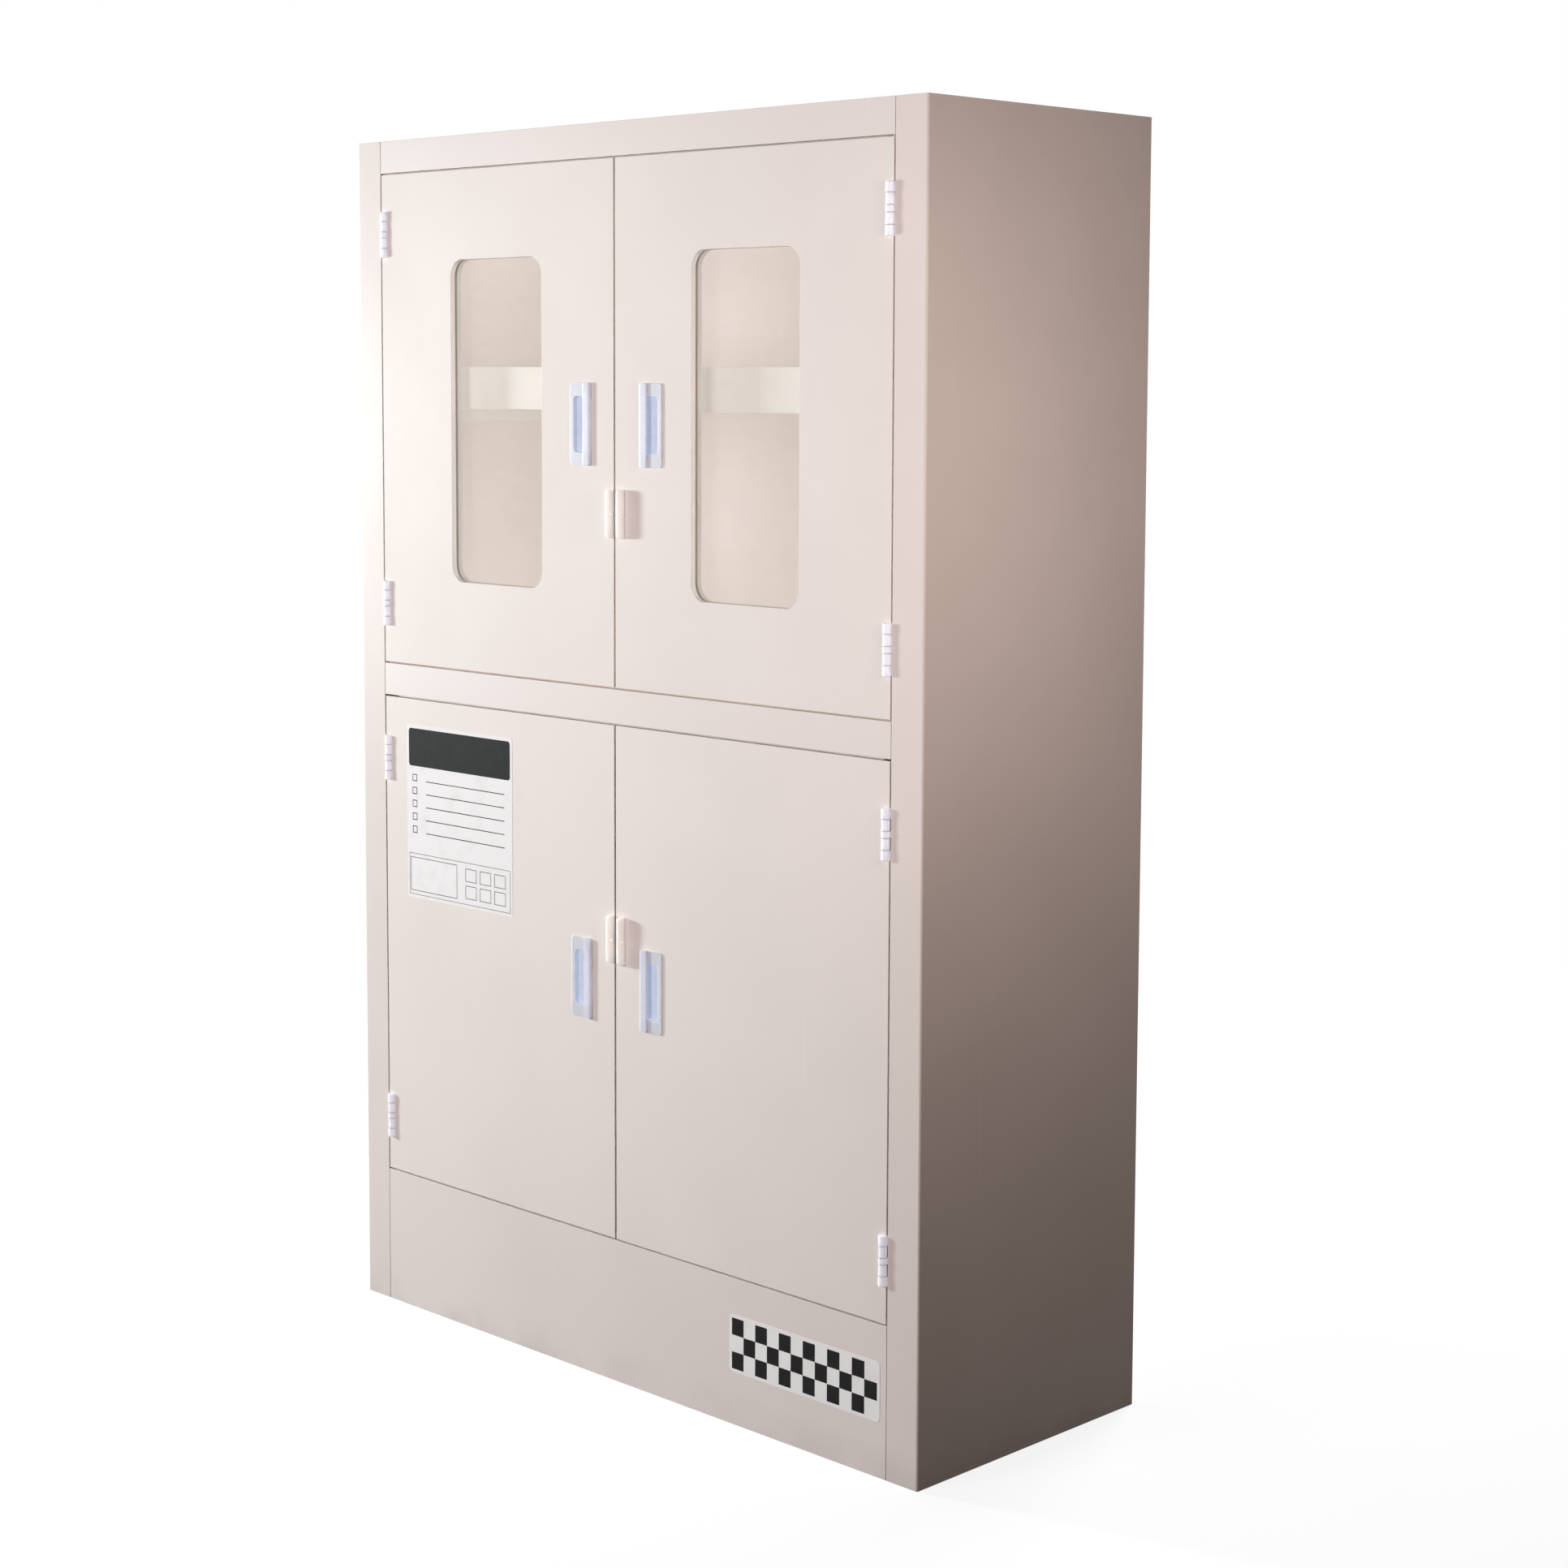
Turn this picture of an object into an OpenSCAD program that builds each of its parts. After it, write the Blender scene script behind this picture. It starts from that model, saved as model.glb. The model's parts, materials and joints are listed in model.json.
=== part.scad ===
// Reagent storage cabinet in welded plastic sheet. Two windowed doors over two plain doors,
// a tray shelf behind each pair, moulded recessed pulls, padlock ears and knuckle hinges.
// Millimetres, +Z up, front towards -Y, origin at the centre of the base.

/* [Case] */
// Overall width of the case
case_w = 1170; // [900:10:1400]
// Overall depth of the case
case_d = 455; // [380:5:600]
// Overall height of the case
case_h = 1800; // [1700:10:1950]
// Thickness of the case sheet
case_t = 10; // [8:0.5:12]
// Width of the front flange bent from each side sheet
stile_w = 55; // [50:1:80]
// Outer radius of the bent front corners
bend_r = 3; // [2:0.5:6]
// Height of the rail above the upper doors
top_rail_h = 48; // [40:1:80]
// Height of the rail between the upper and lower doors
mid_rail_h = 49; // [40:1:80]
// Height of the plinth below the lower doors
plinth_h = 208; // [160:1:260]
// Height of the lower door opening
lower_opening_h = 749; // [650:1:820]
// Depth of the spill sump below the top of the plinth
sump_depth = 48; // [20:1:80]
// Open seam between two welded sheets on the front
weld_gap = 0.8; // [0.3:0.1:0.9]
// Number of upright ribs inside the plinth
rib_count = 3; // [2:1:5]

/* [Shelves] */
// Thickness of the tray shelves
shelf_t = 6; // [4:0.5:10]
// Height of the lip round each tray shelf
shelf_lip_h = 62; // [30:1:90]
// Underside of the upper tray shelf above the base
upper_shelf_z = 1398; // [1250:1:1550]
// Underside of the lower tray shelf above the base
lower_shelf_z = 560; // [450:1:700]
// Distance from the front face of the case to a tray shelf
shelf_setback = 34; // [30:1:80]
// Gap between a tray shelf and the walls beside and behind it
shelf_clear = 2; // [1:0.5:5]
// Width of each leg of the angle that carries a tray shelf
ledge_w = 22; // [15:1:40]
// Thickness of that angle
ledge_t = 4; // [3:0.5:6]

/* [Doors] */
// Thickness of the door sheet
door_t = 8; // [6:0.5:8]
// Gap between a door and the frame round it
door_gap = 2.5; // [1.5:0.1:4]
// Gap between the meeting edges of two doors
meeting_gap = 3.6; // [1.5:0.1:5]
// Width of a door window
window_w = 206; // [120:1:260]
// Height of a door window
window_h = 478; // [300:1:560]
// Corner radius of a door window
window_r = 25; // [5:1:50]
// Distance from the free edge of a door to its window
window_inset = 154.5; // [130:0.5:170]
// Thickness of the clear window sheet
pane_t = 4; // [3:0.5:6]
// Lap of the window sheet over the door sheet
pane_lap = 12; // [8:1:20]
// Set-back of the raised middle of the window sheet behind the face of the door
pane_set = 0.4; // [0.2:0.1:3]
// Width of the frame that holds the window sheet
retainer_w = 30; // [20:1:40]
// Depth of the window frame and of the stiffening frame
frame_depth = 12; // [10:0.5:16]
// Width of the bars of the stiffening frame
stiffener_w = 40; // [25:1:60]
// Distance from the hinged, top and bottom edges of a door to its stiffening frame
stiffener_inset = 52; // [46:1:70]
// Distance from the free edge of a door to its stiffening frame
stiffener_free_inset = 110; // [105:1:140]

/* [Door stops] */
// Thickness of the strips that the doors close against
strip_t = 8; // [6:0.5:12]
// How far a strip reaches down behind the doors
strip_lap = 17; // [10:1:25]
// Width of a magnetic catch
catch_w = 58; // [50:1:80]
// Height of a magnetic catch
catch_h = 15; // [12:1:20]
// Depth of a magnetic catch
catch_d = 18; // [14:1:25]
// Width of a strike plate
strike_w = 22; // [16:1:24]
// Thickness of a strike plate
strike_t = 1.5; // [1:0.1:2]

/* [Hinges] */
// Length of a hinge barrel
hinge_len = 68; // [60:1:90]
// Length of each of the two knuckles on the door leaf
door_knuckle_len = 15.2; // [12:0.1:18]
// Length of the middle knuckle on the frame leaf
mid_knuckle_len = 9; // [7:0.1:12]
// Radius of the frame knuckles
frame_knuckle_r = 6; // [5:0.1:7]
// Radius of the door knuckles
door_knuckle_r = 5.6; // [5:0.1:7]
// Radius of the hinge pin
hinge_pin_r = 2; // [1.5:0.1:3]
// Distance from the door edge to the hinge axis
axis_inset = 6.2; // [6:0.1:7]
// Distance from the end of a door to the middle of its nearer hinge
hinge_inset = 90; // [60:1:150]
// Drop of both hinges of a lower door below their even places
lower_hinge_drop = 5.5; // [0:0.5:20]
// Reach of a hinge leaf from the axis
leaf_w = 36; // [25:1:38]
// Thickness of a hinge leaf
leaf_t = 3; // [2:0.5:4]

/* [Handles] */
// Width of a handle
handle_w = 44; // [40:1:60]
// Height of a handle
handle_h = 117; // [100:1:150]
// Distance from the free edge of a left-hand door to the middle of its handle
left_handle_inset = 68.5; // [60:0.5:78]
// Distance from the free edge of a right-hand door to the middle of its handle
right_handle_inset = 74.5; // [60:0.5:78]
// Thickness of the handle flange
flange_t = 1.8; // [1.5:0.1:4]
// Width of the raised grip
grip_w = 15; // [12:0.5:20]
// Height of the raised grip above the door
grip_h = 4.5; // [4.2:0.1:8]
// Wall of the raised grip
grip_wall = 2; // [1.5:0.1:2.5]
// Height of the finger pocket
pocket_h = 80; // [60:1:90]
// Depth of the finger pocket behind the face of the door
pocket_depth = 5; // [4:0.5:16]
// Rim of the flange beside the finger pocket
pocket_rim = 7; // [4:0.5:10]
// Wall of the pocket cup
cup_wall = 1.5; // [1:0.1:2]

/* [Padlock ears] */
// Thickness of a padlock ear
ear_t = 6.5; // [4:0.5:9]
// Reach of a padlock ear in front of the door
ear_reach = 12; // [11:0.5:20]
// Height of a padlock ear
ear_h = 68; // [40:1:90]
// Corner radius of a padlock ear
ear_r = 6; // [2:0.5:8]
// Radius of the padlock hole
ear_hole_r = 2; // [1.5:0.1:3.5]
// Distance from the free edge of the right-hand door to its padlock ear
right_ear_inset = 12.2; // [4:0.1:20]
// Drop of the upper ears below the middle of the upper doors
upper_ear_drop = 125; // [100:1:200]
// Rise of the lower ears above the middle of the lower doors
lower_ear_rise = 65; // [60:1:200]

/* [Hidden] */

shell_color = [0.91, 0.88, 0.85];
inside_color = [0.88, 0.85, 0.81];
ear_color = [0.93, 0.89, 0.85];
hardware_color = [0.88, 0.87, 0.94];
pocket_color = [0.70, 0.76, 0.86];
window_color = [0.85, 0.88, 0.88, 0.35];
steel_color = [0.72, 0.73, 0.75];

// How far a cutter runs past the faces that it opens
over = 1;
// Facets that stand for a full round
round_fn = 64;
// Running clearance between a hinge pin and its bore
pin_clear = 0.05;
// Gap between neighbouring knuckles
knuckle_gap = 0.3;
// Clearance round the barrel, the window sheet and the pocket cup in their cut-outs
cut_clear = 0.5;
// Clearance round the raised middle of the window sheet in the door
pane_clear = 0.4;
// Air between a strike plate and the catch
catch_air = 0.3;
// Clearance between the swinging edge of a door and the end of a stop strip
swing_clear = 2;
// Lap of the handle flange over the side of the cut-out beside its grip
flange_lap = 0.6;
// Inside corner radius of the finger pocket
pocket_r = 6;
// Corner radius of the handle flange
handle_r = 5;
// Corner radius of the hinge leaves
leaf_r = 3;
// Distance from the free edge of a door to its strike plate
strike_inset = 3;
// Round on the outer and inner edges of the grip
grip_round = 4;
grip_inner_round = 1.5;

half_w = case_w / 2;
front_y = -case_d / 2;
back_y = case_d / 2;
inner_half_w = half_w - case_t;
inner_front_y = front_y + case_t;
inner_back_y = back_y - case_t;
inner_d = inner_back_y - inner_front_y;
rail_half_w = half_w - stile_w - weld_gap;
upper_opening_z = plinth_h + lower_opening_h + mid_rail_h;
upper_opening_h = case_h - top_rail_h - upper_opening_z;
sump_z = plinth_h - sump_depth;
divider_z = upper_opening_z - mid_rail_h / 2 - case_t / 2;

door_w = (case_w - 2 * stile_w - 2 * door_gap - meeting_gap) / 2;
hinge_edge_x = -half_w + stile_w + door_gap;
free_edge_x = hinge_edge_x + door_w;
door_back_y = front_y + door_t;
axis_x = hinge_edge_x + axis_inset;
window_x = free_edge_x - window_inset - window_w / 2;

swing_r = norm([axis_inset, door_t]);
strip_half_w = -axis_x - swing_r - swing_clear;

leaf_start = frame_knuckle_r - leaf_t;
end_knuckle_len = (hinge_len - mid_knuckle_len - 2 * door_knuckle_len - 4 * knuckle_gap) / 2;
knuckle_lens = [end_knuckle_len, door_knuckle_len, mid_knuckle_len, door_knuckle_len, end_knuckle_len];
frame_knuckles = [0, 2, 4];
door_knuckles = [1, 3];

grip_side = cup_wall + cut_clear + flange_lap;
pocket_w = handle_w - pocket_rim - grip_side;
pocket_x = (pocket_rim - grip_side) / 2;

function opening_z(level) = level == "upper" ? upper_opening_z : plinth_h;
function opening_h(level) = level == "upper" ? upper_opening_h : lower_opening_h;
function opening_top(level) = opening_z(level) + opening_h(level);
function door_z(level) = opening_z(level) + door_gap;
function door_h(level) = opening_h(level) - 2 * door_gap;
function door_mid_z(level) = opening_z(level) + opening_h(level) / 2;
function ear_z(level) = door_mid_z(level) + (level == "upper" ? -upper_ear_drop : lower_ear_rise);
function handle_x(side) =
    free_edge_x - (side == "left" ? left_handle_inset : right_handle_inset);
function ear_inset(side) = side == "left" ? 0 : right_ear_inset;
function hinge_drop(level) = level == "upper" ? 0 : lower_hinge_drop;
function hinge_zs(level) = [
    door_z(level) + hinge_inset - hinge_drop(level),
    door_z(level) + door_h(level) - hinge_inset - hinge_drop(level)
];
// Height of the foot of a knuckle above the foot of its barrel
function knuckle_z(i) = i == 0 ? 0 : knuckle_z(i - 1) + knuckle_lens[i - 1] + knuckle_gap;

// ---- Shared shapes ----

// Everything is drawn for the left-hand side and mirrored for the right
module handed(side) {
    if (side == "right") mirror([1, 0, 0]) children();
    else children();
}

// Flat outline in the XZ plane, given a thickness back from y0
module upright(y0, t) {
    translate([0, y0 + t, 0])
        rotate([90, 0, 0])
            linear_extrude(t) children();
}

// Block given by its low and high corners
module block(low, high) {
    translate(low) cube(high - low);
}

// Rectangle about the origin with round corners
module rounded_rect(w, h, r) {
    square([w, h - 2 * r], center = true);
    square([w - 2 * r, h], center = true);
    for (x = [-1, 1], y = [-1, 1])
        translate([x * (w / 2 - r), y * (h / 2 - r)]) circle(r, $fn = round_fn);
}

// What a round takes off the corner of a square that starts at the origin
module corner_waste(r) {
    difference() {
        translate([-over, -over]) square(r + over);
        translate([r, r]) circle(r, $fn = round_fn);
    }
}

// ---- Case ----

// Side sheet and front stile, bent from one sheet
module side_sheet(side) {
    color(shell_color)
        handed(side)
            linear_extrude(case_h)
                translate([-half_w, front_y])
                    difference() {
                        union() {
                            square([case_t, case_d]);
                            square([stile_w, case_t]);
                        }
                        corner_waste(bend_r);
                    }
}

module back_panel() {
    color(shell_color)
        block([-inner_half_w, inner_back_y, 0], [inner_half_w, back_y, case_h]);
}

// Level sheet that fills the case between its walls
module level_sheet(z) {
    block([-inner_half_w, inner_front_y, z], [inner_half_w, inner_back_y, z + case_t]);
}

module top_panel() {
    color(shell_color) level_sheet(case_h - case_t);
}

module base_panel() {
    color(shell_color) level_sheet(0);
}

// Floor of the sump, below the doors
module floor_panel() {
    color(inside_color) level_sheet(sump_z - case_t);
}

module divider_panel() {
    color(inside_color) level_sheet(divider_z);
}

// Cross sheet between the two stiles
module cross_rail(z, h) {
    block([-rail_half_w, front_y, z], [rail_half_w, inner_front_y, z + h]);
}

module top_rail() {
    color(shell_color) cross_rail(case_h - top_rail_h, top_rail_h);
}

module mid_rail() {
    color(shell_color) cross_rail(upper_opening_z - mid_rail_h, mid_rail_h);
}

module plinth_panel() {
    color(shell_color) cross_rail(0, plinth_h);
}

// Upright ribs that carry the floor of the sump
module base_ribs() {
    pitch = case_w / (rib_count + 1);
    color(inside_color)
        for (i = [1:rib_count])
            translate([-half_w + i * pitch - case_t / 2, inner_front_y, case_t])
                cube([case_t, inner_d, sump_z - 2 * case_t]);
}

// Strip behind a rail that the doors close against, clear of their swinging edges
module stop_strip(level, top_z) {
    color(inside_color)
        block(
            [-strip_half_w, inner_front_y, opening_top(level) - strip_lap],
            [strip_half_w, inner_front_y + strip_t, top_z]
        );
}

module upper_stop_strip() {
    stop_strip("upper", case_h - case_t);
}

module lower_stop_strip() {
    stop_strip("lower", divider_z);
}

// ---- Shelves ----

// Open tray that fills the compartment from wall to wall
module tray_shelf(z) {
    x = inner_half_w - shelf_clear;
    y0 = front_y + shelf_setback;
    y1 = inner_back_y - shelf_clear;
    color(inside_color)
        difference() {
            block([-x, y0, z], [x, y1, z + shelf_lip_h]);
            block(
                [-x + shelf_t, y0 + shelf_t, z + shelf_t],
                [x - shelf_t, y1 - shelf_t, z + shelf_lip_h + over]
            );
        }
}

module upper_shelf() {
    tray_shelf(upper_shelf_z);
}

module lower_shelf() {
    tray_shelf(lower_shelf_z);
}

// Angles on both side walls under a tray shelf
module shelf_ledges(z) {
    color(inside_color)
        for (side = ["left", "right"])
            handed(side)
                upright(front_y + shelf_setback, case_d - shelf_setback - case_t)
                    translate([-inner_half_w, z - ledge_w])
                        difference() {
                            square(ledge_w);
                            translate([ledge_t, -over])
                                square([ledge_w, ledge_w - ledge_t + over]);
                        }
}

module upper_shelf_ledges() {
    shelf_ledges(upper_shelf_z);
}

module lower_shelf_ledges() {
    shelf_ledges(lower_shelf_z);
}

// ---- Magnetic catches ----

// Double catch under a stop strip, with a sunk magnet facing each door
module magnetic_catch(level) {
    y0 = door_back_y + strike_t + catch_air;
    magnet_w = strike_w - 2 * strike_inset;
    magnet_x = meeting_gap / 2 + strike_inset + strike_w / 2;
    color(hardware_color)
        translate([0, y0, opening_top(level) - strip_lap - catch_h])
            difference() {
                translate([-catch_w / 2, 0, 0]) cube([catch_w, catch_d, catch_h]);
                for (x = [-magnet_x, magnet_x])
                    translate([x - magnet_w / 2, -over, catch_h / 4])
                        cube([magnet_w, over + strike_t, catch_h / 2]);
            }
}

module upper_catch() {
    magnetic_catch("upper");
}

module lower_catch() {
    magnetic_catch("lower");
}

// ---- Hinges ----

// Places a hinge part at both hinges of a door, with the axis as its Z axis
module at_hinges(level, side) {
    handed(side)
        for (z = hinge_zs(level))
            translate([axis_x, front_y, z - hinge_len / 2]) children();
}

// Plate of a leaf, from the web out to its reach
module leaf_plate(y0, direction) {
    w = leaf_w - leaf_start;
    translate([direction * (leaf_start + w / 2), 0, hinge_len / 2])
        upright(y0, leaf_t) rounded_rect(w, hinge_len, leaf_r);
}

// Knuckles of a leaf, each with the web that joins it to the plate
module knuckles(list, r, y_back, direction) {
    web_x = direction > 0 ? leaf_start : -leaf_start - leaf_t;
    for (i = list)
        translate([0, 0, knuckle_z(i)])
            difference() {
                union() {
                    cylinder(r = r, h = knuckle_lens[i], $fn = round_fn);
                    translate([web_x, 0, 0]) cube([leaf_t, y_back, knuckle_lens[i]]);
                }
                translate([0, 0, -over])
                    cylinder(
                        r = hinge_pin_r + pin_clear,
                        h = knuckle_lens[i] + 2 * over,
                        $fn = round_fn
                    );
            }
}

// Leaves behind the stile, with three knuckles
module frame_leaves(level, side) {
    color(hardware_color)
        at_hinges(level, side) {
            leaf_plate(case_t, -1);
            knuckles(frame_knuckles, frame_knuckle_r, case_t + leaf_t, -1);
        }
}

// Leaves behind the door sheet, with two knuckles
module door_leaves(level, side) {
    color(hardware_color)
        at_hinges(level, side) {
            leaf_plate(door_t, 1);
            knuckles(door_knuckles, door_knuckle_r, door_t + leaf_t, 1);
        }
}

module hinge_pins(level, side) {
    color(hardware_color)
        at_hinges(level, side) cylinder(r = hinge_pin_r, h = hinge_len, $fn = round_fn);
}

// ---- Doors ----

// Door sheet with the hinge notches and the hole for the pocket cup
module door_sheet(level, side) {
    notch_w = axis_inset + frame_knuckle_r + cut_clear;
    notch_h = hinge_len + 2 * cut_clear;
    color(shell_color)
        handed(side)
            upright(front_y, door_t)
                difference() {
                    translate([hinge_edge_x, door_z(level)]) square([door_w, door_h(level)]);
                    for (z = hinge_zs(level))
                        translate([hinge_edge_x - over, z - notch_h / 2])
                            square([notch_w + over, notch_h]);
                    translate([handle_x(side) + pocket_x, door_mid_z(level)])
                        cup_outline(cup_wall + cut_clear);
                    if (level == "upper") window_outline(0);
                }
}

// Outline of the window, grown by a margin
module window_outline(margin) {
    translate([window_x, door_mid_z("upper")])
        rounded_rect(window_w + 2 * margin, window_h + 2 * margin, window_r + margin);
}

// Clear sheet that laps behind the door sheet, with a raised middle that fills the window
module window_sheet(side) {
    color(window_color)
        handed(side) {
            upright(door_back_y, pane_t) window_outline(pane_lap);
            upright(front_y + pane_set, door_t - pane_set) window_outline(-pane_clear);
        }
}

// Frame with a rebate that holds the clear sheet
module window_frame(side) {
    color(inside_color)
        handed(side)
            difference() {
                upright(door_back_y, frame_depth) window_outline(pane_lap + retainer_w);
                upright(door_back_y - over, frame_depth + 2 * over) window_outline(0);
                upright(door_back_y - over, pane_t + over) window_outline(pane_lap + cut_clear);
            }
}

// Ring of bars welded behind a plain door
module stiffener(side) {
    x0 = hinge_edge_x + stiffener_inset;
    x1 = free_edge_x - stiffener_free_inset;
    z0 = door_z("lower") + stiffener_inset;
    z1 = door_z("lower") + door_h("lower") - stiffener_inset;
    color(inside_color)
        handed(side)
            upright(door_back_y, frame_depth)
                difference() {
                    translate([x0, z0]) square([x1 - x0, z1 - z0]);
                    translate([x0 + stiffener_w, z0 + stiffener_w])
                        square([x1 - x0 - 2 * stiffener_w, z1 - z0 - 2 * stiffener_w]);
                }
}

// Steel plate on the back of a door, facing the catch
module strike(level, side) {
    color(steel_color)
        handed(side)
            translate([
                free_edge_x - strike_inset - strike_w,
                door_back_y,
                opening_top(level) - strip_lap - catch_h
            ])
                cube([strike_w, strike_t, catch_h]);
}

// ---- Handles ----

// Outline of the finger pocket, grown by a margin
module cup_outline(margin) {
    rounded_rect(pocket_w + 2 * margin, pocket_h + 2 * margin, pocket_r + margin);
}

// Section of the flange and its raised grip, with the face of the door along X
module grip_section() {
    difference() {
        union() {
            translate([-handle_w / 2, 0]) square([handle_w, flange_t]);
            translate([handle_w / 2 - grip_w, 0]) square([grip_w, grip_h]);
        }
        translate([handle_w / 2, grip_h])
            rotate(180) corner_waste(grip_round);
        translate([handle_w / 2 - grip_w, grip_h])
            rotate(-90) corner_waste(grip_inner_round);
    }
}

// Moulded pull: a flange round the pocket and a grip that overhangs it
module handle(level, side) {
    color(hardware_color)
        handed(side)
            translate([handle_x(side), front_y, door_mid_z(level)])
                difference() {
                    intersection() {
                        translate([0, 0, -handle_h / 2])
                            linear_extrude(handle_h)
                                mirror([0, 1, 0]) grip_section();
                        upright(-grip_h, grip_h) rounded_rect(handle_w, handle_h, handle_r);
                    }
                    translate([pocket_x, 0, 0])
                        upright(grip_wall - grip_h, grip_h) cup_outline(0);
                }
}

// Cup that lines the pocket through the door sheet
module cup(level, side) {
    color(pocket_color)
        handed(side)
            translate([handle_x(side) + pocket_x, front_y, door_mid_z(level)])
                difference() {
                    upright(0, pocket_depth + cup_wall) cup_outline(cup_wall);
                    upright(-over, pocket_depth + over) cup_outline(0);
                }
}

// ---- Padlock ears ----

// Upright ear by the free edge of a door, with a round front edge and a hole across it
module lock_ear(level, side) {
    color(ear_color)
        handed(side)
            translate([free_edge_x - ear_inset(side) - ear_t, front_y, ear_z(level)])
                difference() {
                    intersection() {
                        translate([ear_t, 0, 0])
                            rotate([0, -90, 0])
                                linear_extrude(ear_t)
                                    translate([0, -ear_reach / 2])
                                        ear_side_outline();
                        translate([0, 0, -ear_h / 2])
                            linear_extrude(ear_h) ear_plan_outline();
                    }
                    translate([-over, -ear_reach / 2, 0])
                        rotate([0, 90, 0])
                            cylinder(r = ear_hole_r, h = ear_t + 2 * over, $fn = round_fn);
                }
}

// Ear from the side: two round corners in front, square where it meets the door
module ear_side_outline() {
    difference() {
        square([ear_h, ear_reach], center = true);
        for (turn = [0, 90])
            mirror([turn / 90, 0])
                translate([-ear_h / 2, -ear_reach / 2]) corner_waste(ear_r);
    }
}

// Ear from above: a full round along the front edge
module ear_plan_outline() {
    translate([0, ear_t / 2 - ear_reach]) square([ear_t, ear_reach - ear_t / 2]);
    translate([ear_t / 2, ear_t / 2 - ear_reach]) circle(ear_t / 2, $fn = round_fn);
}

side_sheet("left");  // side_sheet_left
side_sheet("right");  // side_sheet_right
back_panel();
top_panel();
base_panel();
floor_panel();
divider_panel();
top_rail();
mid_rail();
plinth_panel();
base_ribs();
upper_stop_strip();
lower_stop_strip();
upper_shelf();
lower_shelf();
upper_shelf_ledges();
lower_shelf_ledges();
upper_catch();
lower_catch();
frame_leaves("upper", "left");  // upper_left_frame_leaves
frame_leaves("upper", "right");  // upper_right_frame_leaves
frame_leaves("lower", "left");  // lower_left_frame_leaves
frame_leaves("lower", "right");  // lower_right_frame_leaves
hinge_pins("upper", "left");  // upper_left_hinge_pins
hinge_pins("upper", "right");  // upper_right_hinge_pins
hinge_pins("lower", "left");  // lower_left_hinge_pins
hinge_pins("lower", "right");  // lower_right_hinge_pins
door_sheet("upper", "left");  // upper_left_door
door_sheet("upper", "right");  // upper_right_door
door_sheet("lower", "left");  // lower_left_door
door_sheet("lower", "right");  // lower_right_door
window_sheet("left");  // upper_left_window
window_sheet("right");  // upper_right_window
window_frame("left");  // upper_left_window_frame
window_frame("right");  // upper_right_window_frame
stiffener("left");  // lower_left_stiffener
stiffener("right");  // lower_right_stiffener
handle("upper", "left");  // upper_left_handle
handle("upper", "right");  // upper_right_handle
handle("lower", "left");  // lower_left_handle
handle("lower", "right");  // lower_right_handle
cup("upper", "left");  // upper_left_cup
cup("upper", "right");  // upper_right_cup
cup("lower", "left");  // lower_left_cup
cup("lower", "right");  // lower_right_cup
lock_ear("upper", "left");  // upper_left_lock_ear
lock_ear("upper", "right");  // upper_right_lock_ear
lock_ear("lower", "left");  // lower_left_lock_ear
lock_ear("lower", "right");  // lower_right_lock_ear
door_leaves("upper", "left");  // upper_left_door_leaves
door_leaves("upper", "right");  // upper_right_door_leaves
door_leaves("lower", "left");  // lower_left_door_leaves
door_leaves("lower", "right");  // lower_right_door_leaves
strike("upper", "left");  // upper_left_strike
strike("upper", "right");  // upper_right_strike
strike("lower", "left");  // lower_left_strike
strike("lower", "right");  // lower_right_strike
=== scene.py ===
"""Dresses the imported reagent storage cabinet: finishes, edges, fixings, labels, light and camera.

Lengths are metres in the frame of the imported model, with +Z up and the front towards -Y.
"""

import dataclasses
import functools
import json
import logging
import math
from dataclasses import dataclass
from enum import Enum
from typing import Iterator, Sequence, Union

import bpy
from mathutils import Matrix, Vector


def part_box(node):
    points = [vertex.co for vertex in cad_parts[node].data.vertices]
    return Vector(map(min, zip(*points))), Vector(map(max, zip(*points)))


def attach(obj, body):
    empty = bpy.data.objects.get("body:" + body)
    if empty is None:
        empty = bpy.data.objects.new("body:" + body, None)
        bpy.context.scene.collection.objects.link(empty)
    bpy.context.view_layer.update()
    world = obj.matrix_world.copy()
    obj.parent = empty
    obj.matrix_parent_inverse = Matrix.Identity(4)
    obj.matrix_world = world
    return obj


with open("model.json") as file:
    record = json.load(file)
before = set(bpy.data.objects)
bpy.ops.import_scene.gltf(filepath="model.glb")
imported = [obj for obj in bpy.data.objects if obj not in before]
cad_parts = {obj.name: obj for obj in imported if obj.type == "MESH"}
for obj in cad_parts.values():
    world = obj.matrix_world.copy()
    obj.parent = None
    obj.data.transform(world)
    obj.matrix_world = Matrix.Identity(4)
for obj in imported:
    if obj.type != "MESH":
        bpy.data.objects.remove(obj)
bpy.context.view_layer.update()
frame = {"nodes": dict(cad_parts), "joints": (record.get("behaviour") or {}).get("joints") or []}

MM = 0.001
LOG = logging.getLogger("cabinet")

Paint = tuple[int, int, int]
Linear = tuple[float, float, float, float]
Tint = tuple[float, float, float]
Point = tuple[float, float, float]
Flat = tuple[float, float]


class Slot(Enum):
    """Material slots of the record, which the pieces are given and which nothing reads."""

    CASE = "case_sheet"
    INNER = "inner_sheet"
    HARDWARE = "hardware_plastic"
    STEEL = "steel"


class Level(Enum):
    """The two storeys of doors."""

    UPPER = "upper"
    LOWER = "lower"


class Side(Enum):
    """The two doors of a storey, with the sign of their side along X."""

    LEFT = -1
    RIGHT = 1

    @property
    def word(self) -> str:
        """The side as it stands in the names of the nodes."""
        return self.name.lower()


class Facing(Enum):
    """Directions that a small fixing can face, as unit vectors."""

    BACK = (0.0, 1.0, 0.0)
    DOWN = (0.0, 0.0, -1.0)


# ---- Shader building ----


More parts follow.
